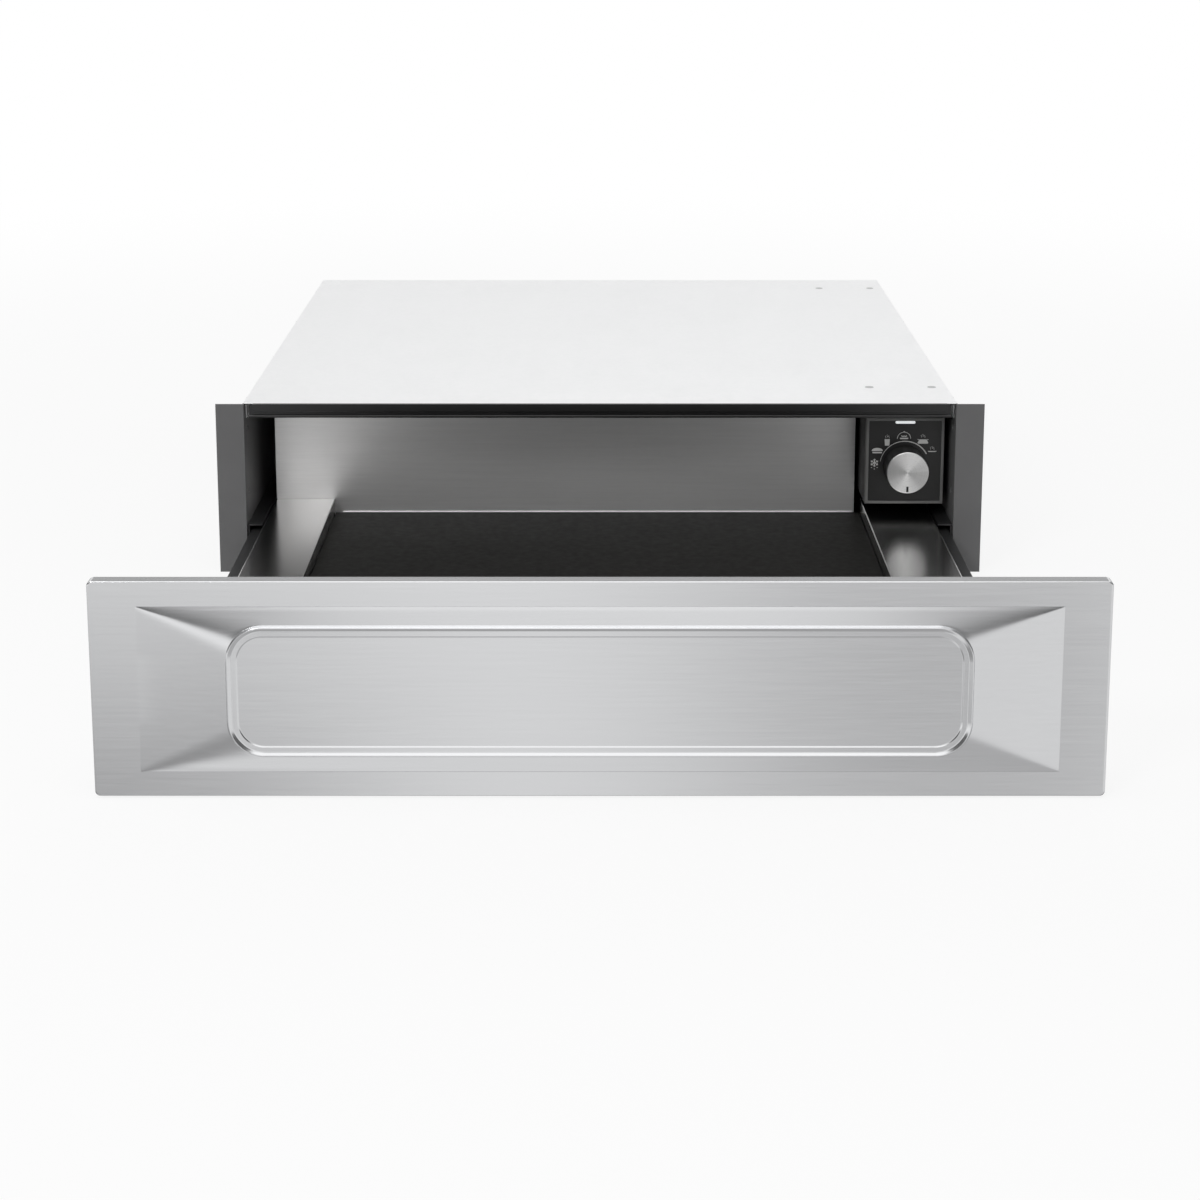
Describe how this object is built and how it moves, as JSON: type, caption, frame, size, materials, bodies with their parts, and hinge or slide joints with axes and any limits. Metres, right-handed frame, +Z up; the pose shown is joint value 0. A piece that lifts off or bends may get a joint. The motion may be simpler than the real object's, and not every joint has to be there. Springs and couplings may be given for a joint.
{
  "type": "built in warming drawer",
  "caption": "Built in warming drawer with an embossed steel front, pulled open on side slides, with a fan heated column and a rotary control inside.",
  "frame": {"origin": "middle of the casing's underside, in the plane of the cabinet face", "axes": "+X to the right seen from the front, +Y to the back of the casing, +Z up"},
  "size_m": [0.597, 1.014, 0.134],
  "materials": {
    "casing_dark": "satin",
    "trim_black": "satin",
    "galvanised": "galvanised steel sheet",
    "zinc_steel": "zinc plated steel",
    "slide_black": "black passivated",
    "ball_steel": "polished",
    "fastener_steel": "zinc plated",
    "tray_steel": "brushed",
    "front_steel": "fine brushed",
    "mat_rubber": "matt",
    "bumper_rubber": "matt",
    "latch_plastic": "matt",
    "column_black": "matt",
    "frame_grey": "satin",
    "fascia_black": "satin",
    "light_pipe": "opal",
    "knob_black": "satin",
    "knob_aluminium": "spun",
    "control_plastic": "matt",
    "board_green": "lacquered",
    "board_parts": "matt",
    "fan_aluminium": "satin",
    "stator_steel": "laminated steel",
    "coil_tape": "taped",
    "heater_steel": "annealed",
    "gland_black": "matt"
  },
  "bodies": {
    "casing": {"casing_base": "casing_dark", "casing_side_left": "casing_dark", "casing_side_right": "casing_dark", "casing_top": "galvanised", "casing_back": "galvanised", "top_trim": "trim_black", "casing_rivets": "fastener_steel", "casing_screws": "fastener_steel", "slide_outer_left": "slide_black", "slide_outer_right": "slide_black", "slide_screws": "fastener_steel", "latch_body": "latch_plastic", "column_housing": "column_black", "column_screws": "fastener_steel", "fascia_frame": "frame_grey", "fascia": "fascia_black", "light_pipe": "light_pipe", "control_body": "control_plastic", "control_nut": "fastener_steel", "circuit_board": "board_green", "board_parts": "board_parts", "board_posts": "control_plastic", "fan_end_plates": "galvanised", "fan_scroll": "galvanised", "motor_stator": "stator_steel", "motor_coil": "coil_tape", "motor_bracket": "galvanised", "heater": "heater_steel", "safety_thermostat": "board_parts", "terminal_block": "control_plastic", "cable_gland": "gland_black", "gland_nut": "gland_black"},
    "drawer": {"tray": "tray_steel", "back_wall": "tray_steel", "tray_rivets": "fastener_steel", "mat": "mat_rubber", "front_skin": "front_steel", "front_liner": "galvanised", "front_bracket_left": "zinc_steel", "front_bracket_right": "zinc_steel", "front_screws": "fastener_steel", "bumpers": "bumper_rubber", "strike_plate": "zinc_steel", "slide_inner_left": "slide_black", "slide_inner_right": "slide_black", "runner_screws": "fastener_steel"},
    "middle_left": {"slide_middle_left": "slide_black"},
    "middle_right": {"slide_middle_right": "slide_black"},
    "outer_cage_l": {"outer_cage_left": "ball_steel"},
    "outer_cage_r": {"outer_cage_right": "ball_steel"},
    "inner_cage_l": {"inner_cage_left": "ball_steel"},
    "inner_cage_r": {"inner_cage_right": "ball_steel"},
    "knob": {"knob_skirt": "knob_black", "knob_cap": "knob_aluminium", "knob_pointer": "knob_black", "control_shaft": "fastener_steel"},
    "plunger": {"latch_plunger": "zinc_steel"},
    "fan": {"fan_rotor": "fan_aluminium", "fan_shaft": "fastener_steel", "motor_rotor": "stator_steel"}
  },
  "joints": [
    {"name": "drawer_slide", "type": "slide", "parent": "casing", "child": "drawer", "axis": [0, -1, 0], "range_m": [-0.431, 0]},
    {"name": "middle_left_slide", "type": "slide", "parent": "casing", "child": "middle_left", "axis": [0, -1, 0], "range_m": [-0.2155, 0]},
    {"name": "middle_right_slide", "type": "slide", "parent": "casing", "child": "middle_right", "axis": [0, -1, 0], "range_m": [-0.2155, 0]},
    {"name": "outer_cage_left_roll", "type": "slide", "parent": "casing", "child": "outer_cage_l", "axis": [0, -1, 0], "range_m": [-0.10775, 0]},
    {"name": "outer_cage_right_roll", "type": "slide", "parent": "casing", "child": "outer_cage_r", "axis": [0, -1, 0], "range_m": [-0.10775, 0]},
    {"name": "inner_cage_left_roll", "type": "slide", "parent": "casing", "child": "inner_cage_l", "axis": [0, -1, 0], "range_m": [-0.32325, 0]},
    {"name": "inner_cage_right_roll", "type": "slide", "parent": "casing", "child": "inner_cage_r", "axis": [0, -1, 0], "range_m": [-0.32325, 0]},
    {"name": "knob_turn", "type": "hinge", "parent": "casing", "child": "knob", "pos_m": [0.2381, 0.003, 0.07863], "axis": [0, 1, 0], "range_deg": [0, 242]},
    {"name": "latch_press", "type": "slide", "parent": "casing", "child": "plunger", "axis": [0, 1, 0], "range_m": [0, 0.006], "stiffness_N_per_m": 600, "springref_m": -0.008},
    {"name": "fan_spin", "type": "hinge", "parent": "casing", "child": "fan", "pos_m": [0.2394, 0.28, 0.084], "axis": [0, 1, 0], "continuous": true}
  ],
  "couplings": [
    {"joint": "middle_left_slide", "follows": "drawer_slide", "ratio": 0.5},
    {"joint": "middle_right_slide", "follows": "drawer_slide", "ratio": 0.5},
    {"joint": "outer_cage_left_roll", "follows": "drawer_slide", "ratio": 0.25},
    {"joint": "outer_cage_right_roll", "follows": "drawer_slide", "ratio": 0.25},
    {"joint": "inner_cage_left_roll", "follows": "drawer_slide", "ratio": 0.75},
    {"joint": "inner_cage_right_roll", "follows": "drawer_slide", "ratio": 0.75}
  ]
}
